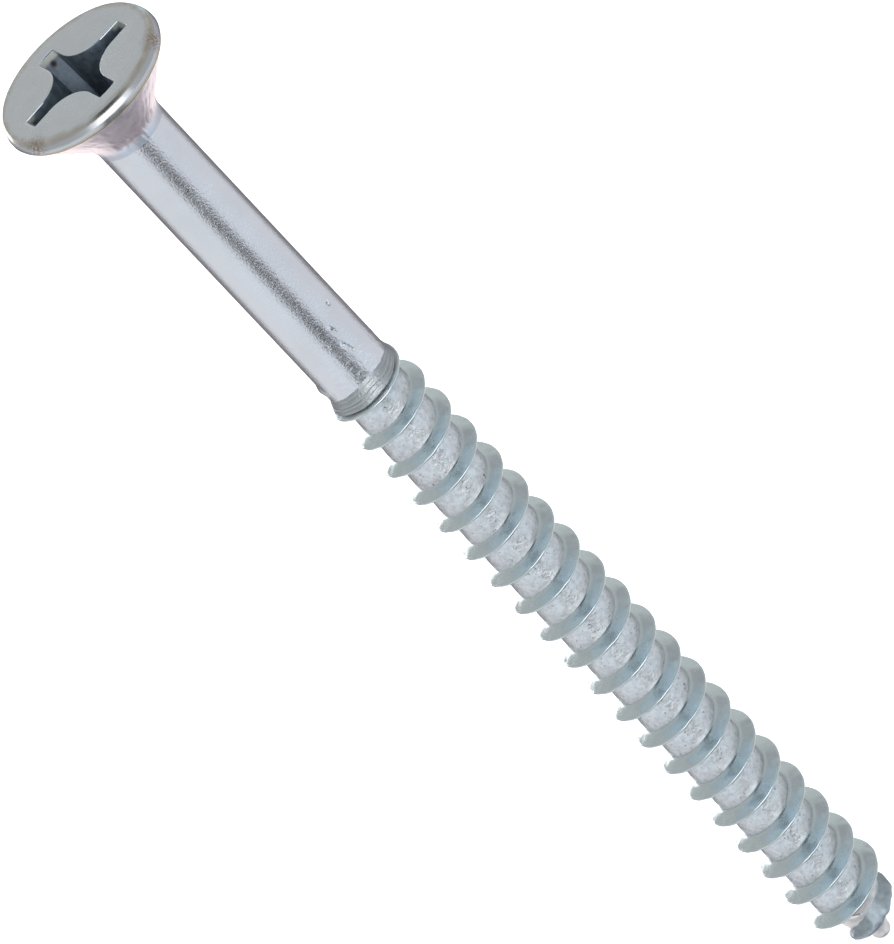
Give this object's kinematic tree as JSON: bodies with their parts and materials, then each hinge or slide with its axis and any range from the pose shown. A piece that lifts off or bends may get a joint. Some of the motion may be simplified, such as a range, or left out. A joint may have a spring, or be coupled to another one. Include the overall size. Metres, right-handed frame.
{
  "type": "wood screw",
  "caption": "Flat countersunk head wood screw with a cross recess, a plain shank, a rolled right-hand thread and a blunt gimlet point, zinc plated.",
  "frame": {"origin": "centre of the head's flat face, which is where the screw's length is measured from", "axes": "+Z along the screw's axis, out of the flat face towards the driver; the tip is at -Z; +X is the side where the ridge first reaches its full height"},
  "size_m": [0.0102, 0.0102, 0.0762],
  "materials": {
    "zinc_plated_steel": "bright clear zinc plating",
    "zinc_plated_steel_rolled": "clear zinc plating over the rolled thread"
  },
  "bodies": {
    "root": {"countersunk_head": "zinc_plated_steel", "plain_shank": "zinc_plated_steel", "thread_core": "zinc_plated_steel_rolled", "thread_ridge": "zinc_plated_steel_rolled", "gimlet_point": "zinc_plated_steel_rolled"}
  },
  "joints": []
}
